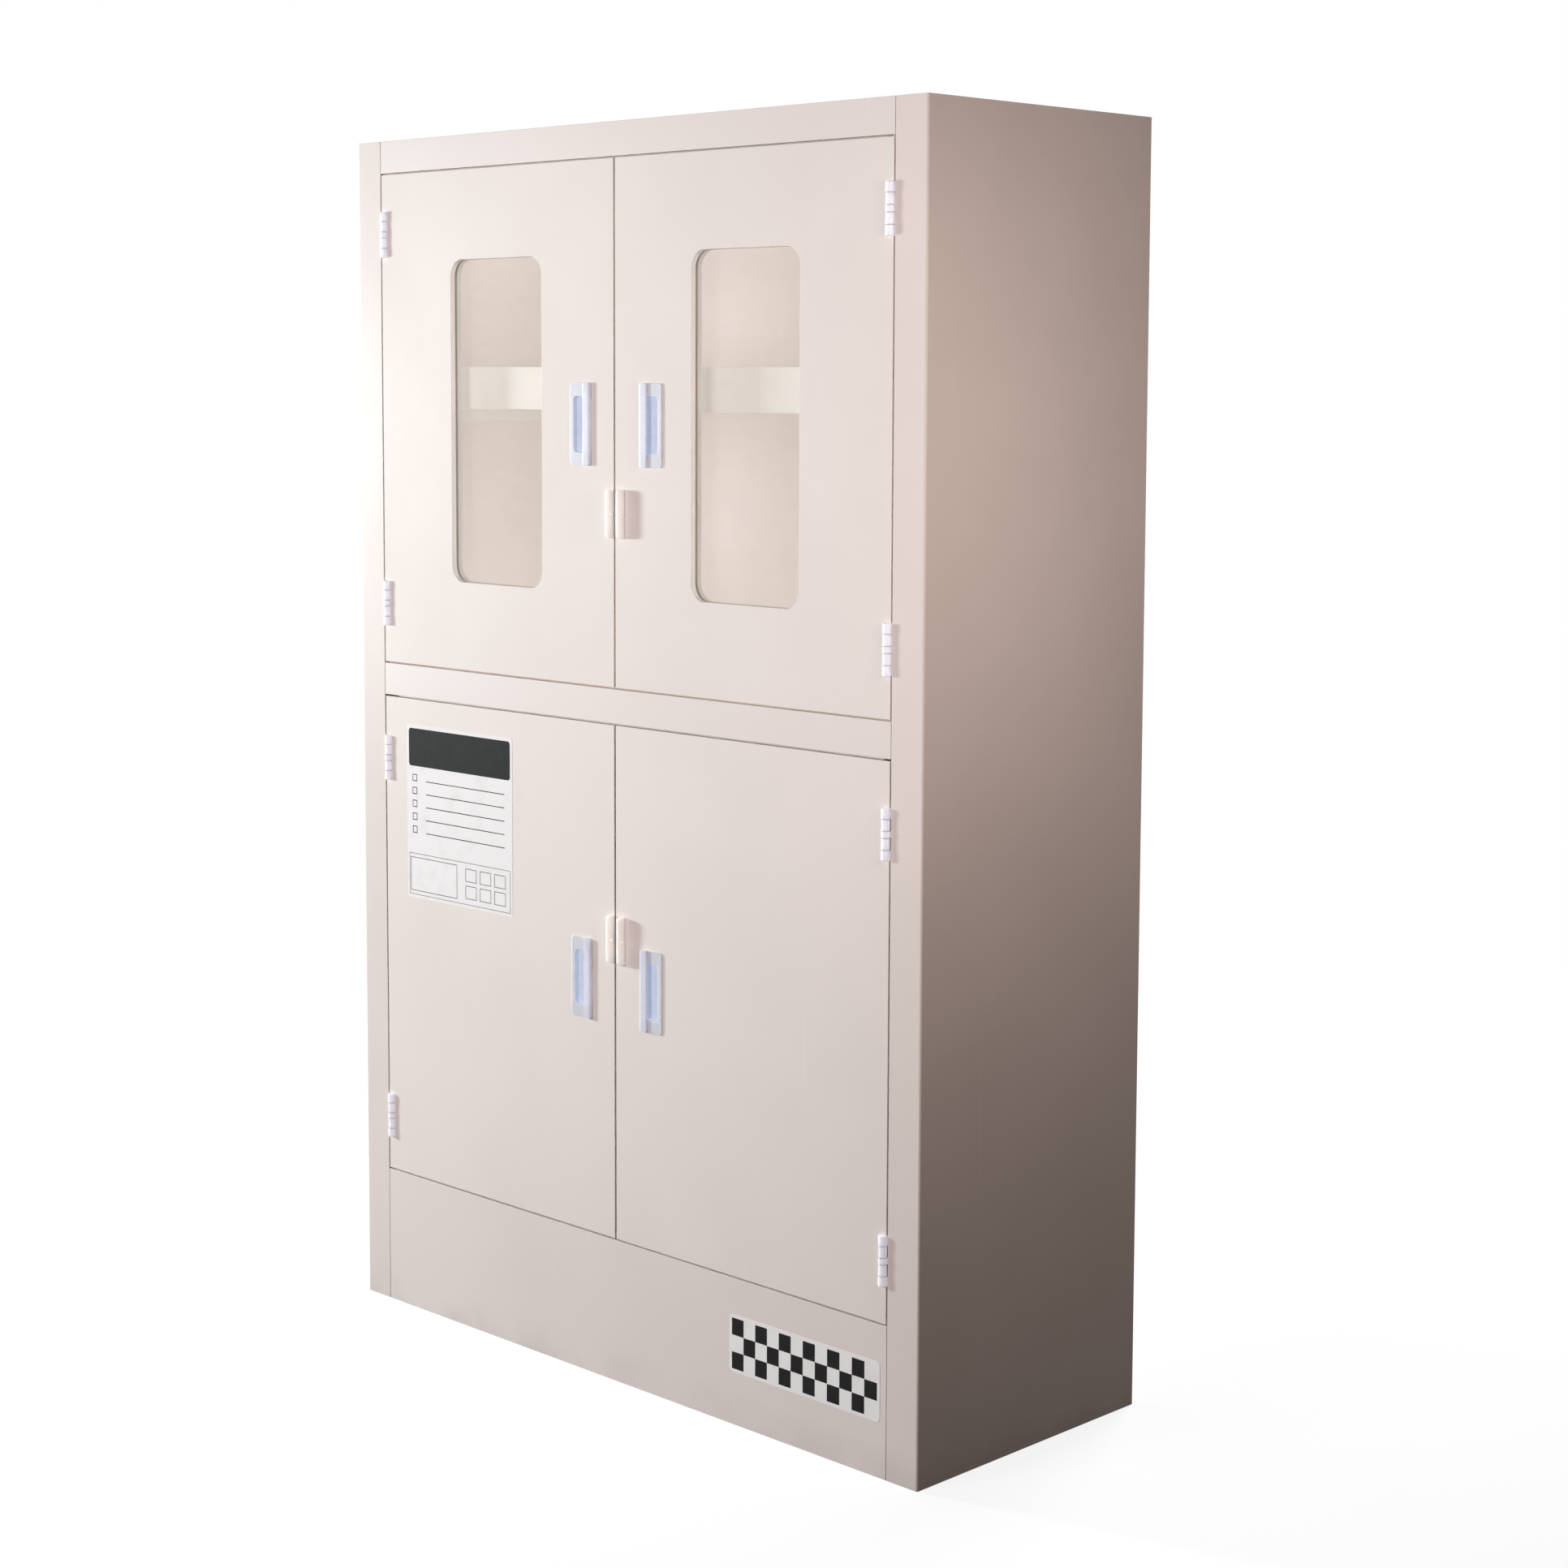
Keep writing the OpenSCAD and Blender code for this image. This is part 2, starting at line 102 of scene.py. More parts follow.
class Signal:
    """A shader value that takes part in Python arithmetic, one Math node for each operator."""

    def __init__(self, maker: "ShaderMaker", socket: bpy.types.NodeSocket) -> None:
        """Wraps a socket of the material that the maker builds."""
        self.maker = maker
        self.socket = socket

    def _math(self, operation: str, *operands: "Operand") -> "Signal":
        """Adds a Math node over the operands and wraps its output."""
        inputs = dict(enumerate(operands))
        return self.maker.signal("ShaderNodeMath", {"operation": operation}, inputs)

    def __add__(self, other: "Operand") -> "Signal":
        """self + other."""
        return self._math("ADD", self, other)

    def __radd__(self, other: "Operand") -> "Signal":
        """other + self."""
        return self._math("ADD", other, self)

    def __sub__(self, other: "Operand") -> "Signal":
        """self - other."""
        return self._math("SUBTRACT", self, other)

    def __rsub__(self, other: "Operand") -> "Signal":
        """other - self."""
        return self._math("SUBTRACT", other, self)

    def __mul__(self, other: "Operand") -> "Signal":
        """self * other."""
        return self._math("MULTIPLY", self, other)

    def __rmul__(self, other: "Operand") -> "Signal":
        """other * self."""
        return self._math("MULTIPLY", other, self)

    def __abs__(self) -> "Signal":
        """abs(self)."""
        return self._math("ABSOLUTE", self)

    def most(self, other: "Operand") -> "Signal":
        """The larger of self and other."""
        return self._math("MAXIMUM", self, other)

    def ramp(self, low: float, high: float) -> "Signal":
        """Rises from 0 at low to 1 at high, and stays within them.

        Args:
            low: value that gives 0.
            high: value that gives 1, which may be the smaller of the two.

        Returns:
            The ramped signal.
        """
        inputs = {"Value": self, "From Min": low, "From Max": high}
        return self.maker.signal("ShaderNodeMapRange", {"clamp": True}, inputs)


Operand = Union[Signal, float]
Value = Union[Signal, bpy.types.NodeSocket, float, Sequence[float]]
Inputs = dict[Union[str, int], Value]
Settings = dict[str, object]


class ShaderMaker:
    """Builds the nodes of one material or of the world."""

    def __init__(self, owner: Union[bpy.types.Material, bpy.types.World]) -> None:
        """Empties the nodes of the material or world."""
        owner.use_nodes = True
        self.owner = owner
        self.tree = owner.node_tree
        self.tree.nodes.clear()

    @classmethod
    def named(cls, name: str) -> "ShaderMaker":
        """Maker for a new material of that name."""
        return cls(bpy.data.materials.new(name))

    def node(self, kind: str, settings: Settings, inputs: Inputs) -> bpy.types.Node:
        """Adds one node.

        Args:
            kind: Blender's type name of the node.
            settings: properties to set first.
            inputs: values or links of its sockets, by name or place.

        Returns:
            The new node.
        """
        made = self.tree.nodes.new(kind)
        for name, value in settings.items():
            setattr(made, name, value)
        for key, value in inputs.items():
            socket = made.inputs[key]
            source = value.socket if isinstance(value, Signal) else value
            if isinstance(source, bpy.types.NodeSocket):
                self.tree.links.new(source, socket)
            else:
                socket.default_value = source
        return made

    def signal(self, kind: str, settings: Settings, inputs: Inputs) -> Signal:
        """Adds one node and wraps its first output."""
        return Signal(self, self.node(kind, settings, inputs).outputs[0])

    @functools.cached_property
    def place(self) -> bpy.types.NodeSocket:
        """Object coordinates, which follow the piece when it moves."""
        return self.node("ShaderNodeTexCoord", {}, {}).outputs["Object"]

    @functools.cached_property
    def axes(self) -> tuple[Signal, Signal, Signal]:
        """The three object coordinates as signals."""
        return self.split(self.place)

    @functools.cached_property
    def slopes(self) -> tuple[Signal, Signal, Signal]:
        """The three parts of the surface's own normal, which follow the piece."""
        return self.split(self.node("ShaderNodeTexCoord", {}, {}).outputs["Normal"])

    def split(self, vector: bpy.types.NodeSocket) -> tuple[Signal, Signal, Signal]:
        """The three parts of a vector as signals."""
        parts = self.node("ShaderNodeSeparateXYZ", {}, {0: vector})
        return tuple(Signal(self, output) for output in parts.outputs)

    def noise(self, scale: float, detail: float, stretch: Point = (1.0, 1.0, 1.0)) -> Signal:
        """Noise over the piece.

        Args:
            scale: lumps per metre.
            detail: how many finer layers lie on it.
            stretch: factor on the scale along each axis.

        Returns:
            The noise, which stays near 0.5.
        """
        where = self.place
        if stretch != (1.0, 1.0, 1.0):
            scaling = {"operation": "MULTIPLY"}
            where = self.node("ShaderNodeVectorMath", scaling, {0: where, 1: stretch}).outputs[0]
        inputs = {"Vector": where, "Scale": scale, "Detail": detail}
        return self.signal("ShaderNodeTexNoise", {}, inputs)

    def distance(self, point: Point) -> Signal:
        """Distance of the surface from a point at rest."""
        inputs = {0: self.place, 1: point}
        node = self.node("ShaderNodeVectorMath", {"operation": "DISTANCE"}, inputs)
        return Signal(self, node.outputs["Value"])

    def blend(self, share: Operand, first: Value, second: Value) -> bpy.types.NodeSocket:
        """Mixes two colours.

        Args:
            share: share of the second colour.
            first: colour where the share is 0.
            second: colour where the share is 1.

        Returns:
            The mixed colour's socket.
        """
        settings = {"data_type": "RGBA"}
        node = self.node("ShaderNodeMix", settings, {0: share, 6: first, 7: second})
        return node.outputs[2]

    def bump(self, height: Signal, depth: float) -> bpy.types.NodeSocket:
        """Normal of a height field.

        Args:
            height: height from 0 to 1.
            depth: real height of 1, in metres.

        Returns:
            The Bump node's normal.
        """
        inputs = {"Height": height, "Distance": depth}
        return self.node("ShaderNodeBump", {}, inputs).outputs["Normal"]

    def principled(self, inputs: dict[str, Value]) -> bpy.types.Material:
        """Ends the material in one Principled shader and returns it."""
        shader = self.node("ShaderNodeBsdfPrincipled", {}, inputs).outputs[0]
        return self.end(shader)

    def end(self, shader: bpy.types.NodeSocket) -> bpy.types.Material:
        """Links a shader to the material's output and returns the material."""
        self.node("ShaderNodeOutputMaterial", {}, {"Surface": shader})
        return self.owner


def paint(colour: Paint, step: int = 0) -> Linear:
    """A display colour as the linear colour that the shaders take.

    Args:
        colour: red, green and blue, 0 to 255.
        step: what is added to each of them, for a lighter or darker shade.

    Returns:
        Linear red, green, blue and an alpha of 1.
    """
    shares = [min(255, part + step) / 255 for part in colour]
    linear = [s / 12.92 if s <= 0.04045 else ((s + 0.055) / 1.055) ** 2.4 for s in shares]
    return linear[0], linear[1], linear[2], 1.0


# ---- Finishes ----


@dataclass(frozen=True)
class SheetFinish:
    """Extruded plastic sheet: satin, faintly clouded, with a fine skin and rubbed marks.

    Faces that look along X between the two distances of CUT_X, the cut edges of the windows, get a
    painted glow: light of the sheet's own colour given out by those shaded edges.
    """

    name: str
    colour: Paint
    clouded: Paint
    rough: float
    shine: float = 0.24
    nicks: tuple[Point, ...] = ()
    cut_glow: float = 0.0

    NICK_R = 1.6 * MM
    NICK_PAINT = (246, 242, 238)
    RUBBED_STEP = 8
    SOILED_STEP = -26
    SOILED_H = 50 * MM
    BLACK = (0.0, 0.0, 0.0, 1.0)
    CUT_X = (0.10, 0.45)
    CUT_FEATHER = 0.01
    SKIN_DEPTH = 0.05 * MM
    WAVE_DEPTH = 0.9 * MM

    @functools.cache
    def material(self) -> bpy.types.Material:
        """Builds the finish once.

        Returns:
            The material.
        """
        m = ShaderMaker.named(self.name)
        broad = m.noise(1.7, 2.0)
        cloud = m.noise(7.0, 4.0)
        streak = m.noise(1.0, 3.0, (70.0, 70.0, 3.0))
        skin = m.noise(950.0, 2.0)
        across, _, height = m.axes
        clouding = (broad * 0.6 + cloud * 0.4).ramp(0.38, 0.66)
        rubbed = streak.ramp(0.66, 0.80) * 0.35
        # Darker in patches within the lowest 50 mm.
        foot = height.ramp(self.SOILED_H, 0.0) * cloud.ramp(0.40, 0.62) * 0.5
        base = m.blend(clouding, paint(self.colour), paint(self.clouded))
        base = m.blend(rubbed, base, paint(self.colour, self.RUBBED_STEP))
        base = m.blend(foot, base, paint(self.clouded, self.SOILED_STEP))
        for nick in self.nicks:
            mark = m.distance(nick).ramp(self.NICK_R, self.NICK_R * 0.6)
            base = m.blend(mark, base, paint(self.NICK_PAINT))
        inner, outer = self.CUT_X
        out = abs(across)
        past_inner = out.ramp(inner, inner + self.CUT_FEATHER)
        before_outer = out.ramp(outer, outer - self.CUT_FEATHER)
        # Painted glow on the shaded cut edges of the windows.
        painted_glow_mask = abs(m.slopes[0]).ramp(0.5, 0.8) * past_inner * before_outer
        waves = broad * 0.9 + skin * (self.SKIN_DEPTH / self.WAVE_DEPTH)
        return m.principled({
            "Base Color": base,
            "Emission Color": m.blend(painted_glow_mask, self.BLACK, base),
            "Emission Strength": self.cut_glow,
            "Roughness": self.rough + 0.10 * cloud - 0.08 * rubbed,
            "Specular IOR Level": self.shine,
            "Normal": m.bump(waves, self.WAVE_DEPTH),
        })


@dataclass(frozen=True)
class MouldedFinish:
    """Injection-moulded plastic: glossier, with a fine spark texture and soft sink marks.

    A milky one lets light run on under its skin for that length. The joints are heights at which
    painted shade darkens the gaps between the knuckles.
    """

    name: str
    colour: Paint
    worn: Paint
    rough: float
    milky: float = 0.0
    # Painted glow: emission of the part's own colour, which makes it brighter than the lamps light
    # it.
    glow: float = 0.0
    joints: tuple[float, ...] = ()

    RELIEF_DEPTH = 0.12 * MM
    MILKY_TINT = (1.0, 0.86, 0.82)
    JOINT_HALF = 0.9 * MM
    GRIME_PAINT = (84, 80, 92)
    GRIME_SHARE = 0.45

    @functools.cache
    def material(self) -> bpy.types.Material:
        """Builds the finish once.

        Returns:
            The material.
        """
        m = ShaderMaker.named(self.name)
        sink = m.noise(38.0, 2.0)
        handled = m.noise(90.0, 4.0)
        spark = m.noise(2600.0, 1.0)
        wear = (sink * 0.5 + handled * 0.5).ramp(0.40, 0.64)
        base = m.blend(wear, paint(self.colour), paint(self.worn))
        for joint in self.joints:
            # Painted shade in the gaps between the knuckles.
            joint_shade = abs(m.axes[2] - joint).ramp(self.JOINT_HALF, self.JOINT_HALF * 0.5)
            base = m.blend(joint_shade * self.GRIME_SHARE, base, paint(self.GRIME_PAINT))
        return m.principled({
            "Base Color": base,
            "Roughness": self.rough + 0.12 * handled,
            "Specular IOR Level": 0.4,
            "Subsurface Weight": 1.0 if self.milky else 0.0,
            "Subsurface Radius": self.MILKY_TINT,
            "Subsurface Scale": self.milky,
            # Painted glow, standing in for light that does not reach the part.
            "Emission Color": base,
            "Emission Strength": self.glow,
            "Normal": m.bump(sink * 0.5 + spark * 0.35, self.RELIEF_DEPTH),
        })


@dataclass(frozen=True)
class ClearFinish:
    """Clear plastic sheet with a faint haze, wiping marks and dust."""

    name: str
    haze: Paint
    wiped: Paint
    cover: float

    EDGE_COVER = 0.02

    @functools.cache
    def material(self) -> bpy.types.Material:
        """Builds the finish once.

        Returns:
            The material.
        """
        m = ShaderMaker.named(self.name)
        wipe = m.noise(1.0, 3.0, (10.0, 10.0, 34.0))
        dust = m.noise(260.0, 3.0).ramp(0.60, 0.74)
        broadside = abs(m.slopes[1]).ramp(0.2, 0.7)
        return m.principled({
            "Base Color": m.blend(wipe, paint(self.haze), paint(self.wiped)),
            "Roughness": 0.10 + 0.14 * wipe,
            "Alpha": self.EDGE_COVER + broadside * (self.cover + 0.05 * wipe + 0.06 * dust),
            "Specular IOR Level": 0.5,
            "Normal": m.bump(wipe, 0.10 * MM),
        })


@dataclass(frozen=True)
class SteelFinish:
    """Plated steel with rolling lines and dulled spots."""

    name: str
    colour: Paint
    dulled: Paint

    @functools.cache
    def material(self) -> bpy.types.Material:
        """Builds the finish once.

        Returns:
            The material.
        """
        m = ShaderMaker.named(self.name)
        rolled = m.noise(1.0, 3.0, (40.0, 900.0, 900.0))
        spots = m.noise(320.0, 4.0)
        base = m.blend(spots.ramp(0.45, 0.70), paint(self.colour), paint(self.dulled))
        return m.principled({
            "Base Color": base,
            "Metallic": 1.0 - 0.25 * spots.ramp(0.55, 0.72),
            "Roughness": 0.24 + 0.22 * rolled,
            "Normal": m.bump(rolled, 0.03 * MM),
        })


@dataclass(frozen=True)
class InkFinish:
    """Printed film: an even coat that is slightly thin and scuffed in places."""

    name: str
    colour: Paint
    thin: Paint

    @functools.cache
    def material(self) -> bpy.types.Material:
        """Builds the finish once.

        Returns:
            The material.
        """
        m = ShaderMaker.named(self.name)
        scuff = m.noise(55.0, 5.0)
        fibre = m.noise(1400.0, 2.0)
        return m.principled({
            "Base Color": m.blend(scuff.ramp(0.52, 0.80), paint(self.colour), paint(self.thin)),
            "Roughness": 0.55 + 0.14 * scuff,
            "Specular IOR Level": 0.1,
            "Normal": m.bump(fibre, 0.04 * MM),
        })


@dataclass(frozen=True)
class FloorFinish:
    """Studio floor: brown to the object, near white to the camera, and it keeps a shadow.

    The shadow fades out between the two radii.
    """

    name: str
    colour: Paint
    seen: float
    kept: float
    shadow_r: float
    clear_r: float

    GRAIN_STEP = -3

    @functools.cache
    def material(self) -> bpy.types.Material:
        """Builds the finish once.

        Returns:
            The material.
        """
        m = ShaderMaker.named(self.name)
        grain = m.noise(6.0, 3.0)
        plain = m.blend(grain, paint(self.colour), paint(self.colour, self.GRAIN_STEP))
        diffuse = m.node("ShaderNodeBsdfDiffuse", {}, {"Color": plain}).outputs[0]
        share = (self.kept,) * 3 + (1.0,)
        keeping = m.node("ShaderNodeBsdfDiffuse", {}, {"Color": share}).outputs[0]
        glow = m.node("ShaderNodeEmission", {}, {"Strength": self.seen}).outputs[0]
        shadowed = m.node("ShaderNodeAddShader", {}, {0: keeping, 1: glow}).outputs[0]
        white = m.node("ShaderNodeEmission", {}, {"Strength": 1.0}).outputs[0]
        far = m.distance((0.0, 0.0, 0.0)).ramp(self.shadow_r, self.clear_r)
        shown = m.node("ShaderNodeMixShader", {}, {0: far, 1: shadowed, 2: white}).outputs[0]
        rays = background_rays(m)
        return m.end(m.node("ShaderNodeMixShader", {}, {0: rays, 1: diffuse, 2: shown}).outputs[0])


def background_rays(maker: ShaderMaker) -> Signal:
    """1 for the rays that see the background: from the camera, mirrored or through glass."""
    path = maker.node("ShaderNodeLightPath", {}, {})
    kinds = ("Is Camera Ray", "Is Glossy Ray", "Is Transmission Ray")
    seen, mirrored, through = (Signal(maker, path.outputs[kind]) for kind in kinds)
    return seen.most(mirrored).most(through)


SHEET = SheetFinish("porcelain_sheet", (235, 226, 221), (230, 221, 216), 0.42, shine=0.42)
SIDE_SHEET = SheetFinish(
    "porcelain_side_sheet", (234, 224, 218), (228, 218, 212), 0.42, shine=0.30,
    nicks=((0.585, -0.083, 0.635), (0.585, -0.087, 0.595), (0.585, -0.082, 0.261)),
)
# The door sheet's window cut edges get a painted glow.
DOOR_SHEET = SheetFinish(
    "porcelain_door_sheet", (241, 233, 227), (236, 228, 222), 0.49, cut_glow=0.22
)
INNER_SHEET = SheetFinish("inner_sheet", (238, 232, 226), (233, 227, 220), 0.44)
HARDWARE = MouldedFinish("moulded_white", (230, 232, 243), (224, 227, 240), 0.30, milky=4 * MM)
# Hinge white has a painted glow that brightens the barrels.
HINGE_WHITE = MouldedFinish(
    "hinge_white", (240, 242, 252), (235, 237, 249), 0.34, milky=6 * MM, glow=0.22
)
# The pocket's painted glow brightens the recess, which lies in the shade of the grip.
POCKET = MouldedFinish("pocket_blue_grey", (188, 197, 213), (181, 191, 208), 0.34, glow=0.45)
# The ears' painted glow brightens their sides that face away from the key lamp.
EAR = MouldedFinish("ear_cream", (252, 246, 243), (249, 241, 237), 0.38, milky=9 * MM, glow=0.17)
CLEAR = ClearFinish("clear_sheet", (232, 229, 219), (244, 243, 236), cover=0.16)
STEEL = SteelFinish("plated_steel", (196, 198, 202), (160, 160, 162))
CARD_WHITE = InkFinish("card_white", (250, 250, 249), (242, 241, 238))
CARD_BLACK = InkFinish("card_black", (13, 12, 13), (32, 30, 30))
WELD = MouldedFinish("weld_rod", (236, 229, 220), (226, 217, 207), 0.26)

Finish = Union[SheetFinish, MouldedFinish, ClearFinish, SteelFinish, InkFinish]


# ---- Meshes ----


JOINED_WITHIN = 0.004 * MM
FLAT_WITHIN = math.radians(0.5)
SHARP_OVER = math.radians(32)
ROUND_FACETS = 2


def new_object(name: str, data: bpy.types.ID) -> bpy.types.Object:
    """Makes an object of the data and puts it into the scene."""
    made = bpy.data.objects.new(name, data)
    bpy.context.scene.collection.objects.link(made)
    return made


def soften(piece: bpy.types.Object, width: float) -> None:
    """Rounds the edges of a piece by modifiers and leaves its mesh as it is.

    Args:
        piece: the piece or CAD node.
        width: width of each rounded edge.
    """
    weld = piece.modifiers.new("joined", "WELD")
    weld.merge_threshold = JOINED_WITHIN
    flat = piece.modifiers.new("flattened", "DECIMATE")
    flat.decimate_type = "DISSOLVE"
    flat.angle_limit = FLAT_WITHIN
    bevel = piece.modifiers.new("rounded", "BEVEL")
    bevel.width = width
    bevel.segments = ROUND_FACETS
    bevel.limit_method = "ANGLE"
    bevel.angle_limit = SHARP_OVER
    bevel.use_clamp_overlap = True
    piece.modifiers.new("shaded", "WEIGHTED_NORMAL")


def dress(node: str, finish: Finish, edge: float) -> None:
    """Gives a CAD node its finish and rounded edges.

    Args:
        node: name of the node.
        finish: one of the finishes.
        edge: width of its rounded edges, or 0 for none.
    """
    piece = frame["nodes"][node]
    if not piece.material_slots:
        piece.data.materials.append(None)
    for slot in piece.material_slots:
        slot.material = finish.material()
    if edge:
        soften(piece, edge)
    LOG.info("node %s in %s", node, finish.name)


class MeshDraft:
    """Points and faces of simple shapes, gathered into one piece."""

    def __init__(self) -> None:
        """Starts with nothing in it."""
        self.points: list[Vector] = []
        self.faces: list[tuple[int, ...]] = []

    def add(
        self, points: Sequence[Vector], faces: Sequence[Sequence[int]], place: Matrix
    ) -> "MeshDraft":
        """Adds one shape.

        Args:
            points: its points.
            faces: its faces, as places in those points.
            place: where it goes.

        Returns:
            The draft itself.
        """
        start = len(self.points)
        self.points += [place @ Vector(point) for point in points]
        self.faces += [tuple(start + index for index in face) for face in faces]
        return self

    def plate(self, outline: Sequence[Flat], thickness: float, place: Matrix) -> "MeshDraft":
        """Adds a flat plate.

        Args:
            outline: its outline in X and Y, anticlockwise.
            thickness: thickness along Z, from 0.
            place: where it goes.

        Returns:
            The draft itself.
        """
        count = len(outline)
        points = [Vector((x, y, z)) for z in (0.0, thickness) for x, y in outline]
        faces: list[Sequence[int]] = [range(count, 2 * count), range(count - 1, -1, -1)]
        for i in range(count):
            j = (i + 1) % count
            faces.append((i, j, count + j, count + i))
        return self.add(points, faces, place)

    def lathe(self, profile: Sequence[Flat], segments: int, place: Matrix) -> "MeshDraft":
        """Adds a closed turned shape.

        Args:
            profile: radius and height pairs, from the axis at the top to the axis at the foot.
            segments: facets round the axis.
            place: where it goes.

        Returns:
            The draft itself.
        """
        rings = profile[1:-1]
        turns = [math.tau * k / segments for k in range(segments)]
        points = [Vector((r * math.cos(a), r * math.sin(a), h)) for r, h in rings for a in turns]
        top = len(points)
        points += [Vector((0, 0, profile[0][1])), Vector((0, 0, profile[-1][1]))]
        faces: list[Sequence[int]] = []
        last = (len(rings) - 1) * segments
        for k in range(segments):
            n = (k + 1) % segments
            faces.append((top, k, n))
            faces.append((top + 1, last + n, last + k))
            for ring in range(len(rings) - 1):
                upper, lower = ring * segments, (ring + 1) * segments
                faces.append((upper + k, lower + k, lower + n, upper + n))
        return self.add(points, faces, place)

    def piece(
        self, name: str, body: str, slot: Slot, finish: Finish, smooth: bool = True
    ) -> bpy.types.Object:
        """Makes the piece and lets it ride.

        Args:
            name: name of the piece.
            body: body that it rides on.
            slot: slot of the record; not used.
            finish: its finish.
            smooth: whether its shading runs on over its edges.

        Returns:
            The new object.
        """
        mesh = bpy.data.meshes.new(name)
        mesh.from_pydata([tuple(point) for point in self.points], [], self.faces)
        mesh.validate()
        mesh.update()
        mesh.polygons.foreach_set("use_smooth", [smooth] * len(mesh.polygons))
        made = new_object(name, mesh)
        made.data.materials.append(finish.material())
        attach(made, body)
        LOG.info("piece %s on %s", name, body)
        return made


def rounded_outline(width: float, height: float, radius: float, facets: int = 6) -> list[Flat]:
    """Outline of a rectangle with round corners about the origin.

    Args:
        width: size along X.
        height: size along Y.
        radius: corner radius.
        facets: facets of each corner.

    Returns:
        Points, anticlockwise.
    """
    outline = []
    for quarter in range(4):
        turn = quarter * math.pi / 2
        sign_x = 1 if quarter in (0, 3) else -1
        sign_y = 1 if quarter in (0, 1) else -1
        for k in range(facets + 1):
            angle = turn + math.pi / 2 * k / facets
            x = sign_x * (width / 2 - radius) + radius * math.cos(angle)
            y = sign_y * (height / 2 - radius) + radius * math.sin(angle)
            outline.append((x, y))
    return outline


def facing(place: Point, direction: Facing) -> Matrix:
    """Matrix that puts a shape at a place with its Z axis in that direction."""
    turn = Vector(direction.value).to_track_quat("Z", "Y").to_matrix().to_4x4()
    return Matrix.Translation(place) @ turn


def front_place(x: float, y: float, z: float) -> Matrix:
    """Matrix for a flat shape on a front face: X stays X, Y becomes up, Z faces the front."""
    axes = Matrix(((1, 0, 0, 0), (0, 0, -1, 0), (0, 1, 0, 0), (0, 0, 0, 1)))
    return Matrix.Translation((x, y, z)) @ axes


def middle(node: str) -> Vector:
    """Middle of a CAD node's box."""
    low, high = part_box(node)
    return (low + high) / 2


# ---- Fixings ----


@dataclass(frozen=True)
class ScrewHeads:
    """Cross-recessed heads of the screws that hold one fitting.

    Lengths of the recess and the rings are shares of the radius, heights are shares of the height.
    """

    radius: float
    height: float

    RECESS_W = 0.24
    RECESS_REACH = 0.6
    RECESS_FLOOR = 0.45
    RINGS = ((0.18, 1.0), (0.34, 0.97), (0.52, 0.90), (0.72, 0.76), (0.90, 0.46), (1.0, 0.16))
    SEGMENTS = 24

    def head(self, draft: MeshDraft, place: Matrix) -> None:
        """Adds one head.

        Args:
            draft: where it goes.
            place: its seat, with Z away from it.
        """
        floor = self.height * self.RECESS_FLOOR
        reach = self.RECESS_REACH * self.radius
        profile = [(0.0, floor)]
        profile += [(self.radius * r, self.height * h) for r, h in self.RINGS]
        profile += [(self.radius, 0.0), (0.0, 0.0)]
        start = len(draft.points)
        draft.lathe(profile, self.SEGMENTS, Matrix.Identity(4))
        for index in range(start, len(draft.points)):
            point = draft.points[index]
            spread = math.hypot(point.x, point.y)
            in_arm = min(abs(point.x), abs(point.y)) < self.RECESS_W * self.radius * 0.5
            if 0 < spread < reach and in_arm:
                point.z = floor
            draft.points[index] = place @ point

    def at(
        self, name: str, body: str, finish: Finish, slot: Slot, places: Sequence[Matrix]
    ) -> None:
        """Makes one piece of all the heads of a fitting.

        Args:
            name: name of the piece.
            body: body that it rides on.
            finish: finish of the heads.
            slot: slot of the record.
            places: seats of the heads.
        """
        draft = MeshDraft()
        for place in places:
            self.head(draft, place)
        draft.piece(name, body, slot, finish)


@dataclass(frozen=True)
class WeldSeam:
    """Rod weld laid along an inside corner, with the ripple of hand welding."""

    radius: float = 2.3 * MM
    pitch: float = 4.0 * MM
    ripple: float = 0.18
    facets: int = 4

    def lay(self, draft: MeshDraft, start: Point, end: Point, wall_a: Point, wall_b: Point) -> None:
        """Adds one seam.

        Args:
            draft: where it goes.
            start: corner point where it starts.
            end: corner point where it ends.
            wall_a: direction from the corner along the first wall.
            wall_b: direction from the corner along the second wall.
        """
        first, last = Vector(start), Vector(end)
        side_a, side_b = Vector(wall_a), Vector(wall_b)
        if (last - first).dot(side_a.cross(side_b)) < 0:
            side_a, side_b = side_b, side_a
        count = max(2, round((last - first).length / self.pitch))
        ring = self.facets + 2
        points = []
        for k in range(count + 1):
            reach = self.radius * (1 - self.ripple * (k % 2))
            centre = first.lerp(last, k / count)
            points.append(centre)
            for j in range(self.facets + 1):
                angle = math.pi / 2 * j / self.facets
                out = side_a * math.cos(angle) + side_b * math.sin(angle)
                points.append(centre + reach * out)
        faces = []
        for k in range(count):
            here, there = k * ring, (k + 1) * ring
            for j in range(ring):
                n = (j + 1) % ring
                faces.append((here + j, here + n, there + n, there + j))
        faces.append(tuple(range(ring - 1, -1, -1)))
        faces.append(tuple(count * ring + j for j in range(ring)))
        draft.add(points, faces, Matrix.Identity(4))


# ---- Sub-assemblies ----


